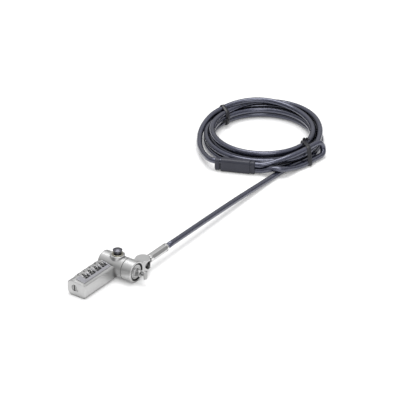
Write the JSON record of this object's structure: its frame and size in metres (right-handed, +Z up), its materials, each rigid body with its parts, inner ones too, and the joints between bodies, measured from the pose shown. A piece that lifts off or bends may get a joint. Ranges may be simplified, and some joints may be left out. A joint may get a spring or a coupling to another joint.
{
  "type": "laptop cable lock",
  "caption": "Combination laptop cable lock with number wheels, push button, T bar and a coiled vinyl cable that ends in a loop.",
  "frame": {"origin": "middle of the lock's footprint on the surface it lies on, the cable left out", "axes": "+X along the barrel towards the T bar, +Y along the wheel bar towards the cable, +Z up"},
  "size_m": [0.1053, 0.3185, 0.0217],
  "materials": {
    "satin_alloy": "satin plated die casting",
    "bright_steel": "bright plated",
    "wheel_alloy": "satin",
    "brass_inner": "turned",
    "plain_steel": "turned",
    "black_steel": "black oxide",
    "smoke_vinyl": "smooth vinyl",
    "sleeve_plastic": "moulded",
    "tie_plastic": "moulded"
  },
  "bodies": {
    "housing": {"body_housing": "satin_alloy", "dial_plate": "satin_alloy", "detent_spring": "plain_steel", "barrel_plug": "satin_alloy", "nose_plate": "satin_alloy", "nose_pins": "plain_steel", "retaining_ring": "black_steel", "button_collar": "bright_steel", "button_spring": "plain_steel"},
    "core": {"lock_core": "plain_steel", "t_bar": "bright_steel"},
    "button": {"push_button": "bright_steel"},
    "slider": {"spindle": "plain_steel"},
    "reset": {"reset_screw": "plain_steel"},
    "ring": {"swivel_ring": "satin_alloy"},
    "cable": {"cable_terminal": "plain_steel", "cable_straight": "smoke_vinyl", "cable_coil": "smoke_vinyl", "cable_tail": "smoke_vinyl", "cable_loop": "smoke_vinyl", "cable_sleeved": "smoke_vinyl", "loop_sleeve": "sleeve_plastic", "loop_crimp": "plain_steel", "ferrule": "bright_steel", "tie_front": "tie_plastic", "tie_back": "tie_plastic"},
    "wheel_1": {"dial_1": "wheel_alloy", "code_ring_1": "brass_inner"},
    "wheel_2": {"dial_2": "wheel_alloy", "code_ring_2": "brass_inner"},
    "wheel_3": {"dial_3": "wheel_alloy", "code_ring_3": "brass_inner"},
    "wheel_4": {"dial_4": "wheel_alloy", "code_ring_4": "brass_inner"}
  },
  "joints": [
    {"name": "wheel_1_turn", "type": "hinge", "parent": "housing", "child": "wheel_1", "pos_m": [-0.01445, -0.02336, 0.00695], "axis": [0, 1, 0], "continuous": true},
    {"name": "wheel_2_turn", "type": "hinge", "parent": "housing", "child": "wheel_2", "pos_m": [-0.01445, -0.01686, 0.00695], "axis": [0, 1, 0], "continuous": true},
    {"name": "wheel_3_turn", "type": "hinge", "parent": "housing", "child": "wheel_3", "pos_m": [-0.01445, -0.01036, 0.00695], "axis": [0, 1, 0], "continuous": true},
    {"name": "wheel_4_turn", "type": "hinge", "parent": "housing", "child": "wheel_4", "pos_m": [-0.01445, -0.00386, 0.00695], "axis": [0, 1, 0], "continuous": true},
    {"name": "core_turn", "type": "hinge", "parent": "housing", "child": "core", "pos_m": [-0.00005, 0.00704, 0.008], "axis": [-1, 0, 0], "range_deg": [0, 90]},
    {"name": "button_press", "type": "slide", "parent": "housing", "child": "button", "axis": [0, 0, -1], "range_m": [0, 0.0021], "stiffness_N_per_m": 300, "springref_m": -0.002, "deforming": ["button_spring"]},
    {"name": "spindle_slide", "type": "slide", "parent": "housing", "child": "slider", "axis": [0, -1, 0], "range_m": [0, 0.0012]},
    {"name": "reset_turn", "type": "hinge", "parent": "housing", "child": "reset", "pos_m": [-0.01255, -0.03226, 0.0066], "axis": [0, 1, 0], "range_deg": [0, 90]},
    {"name": "ring_swivel", "type": "hinge", "parent": "housing", "child": "ring", "pos_m": [0.00702, 0.00704, 0.008], "axis": [1, 0, 0], "continuous": true},
    {"name": "cable_tilt", "type": "hinge", "parent": "ring", "child": "cable", "pos_m": [0.00702, 0.01984, 0.008], "axis": [1, 0, 0], "range_deg": [-15, 15]}
  ],
  "couplings": [
    {"joint": "core_turn", "follows": "button_press", "rad_per_m": 747.99},
    {"joint": "spindle_slide", "follows": "button_press", "ratio": 0.5714}
  ]
}
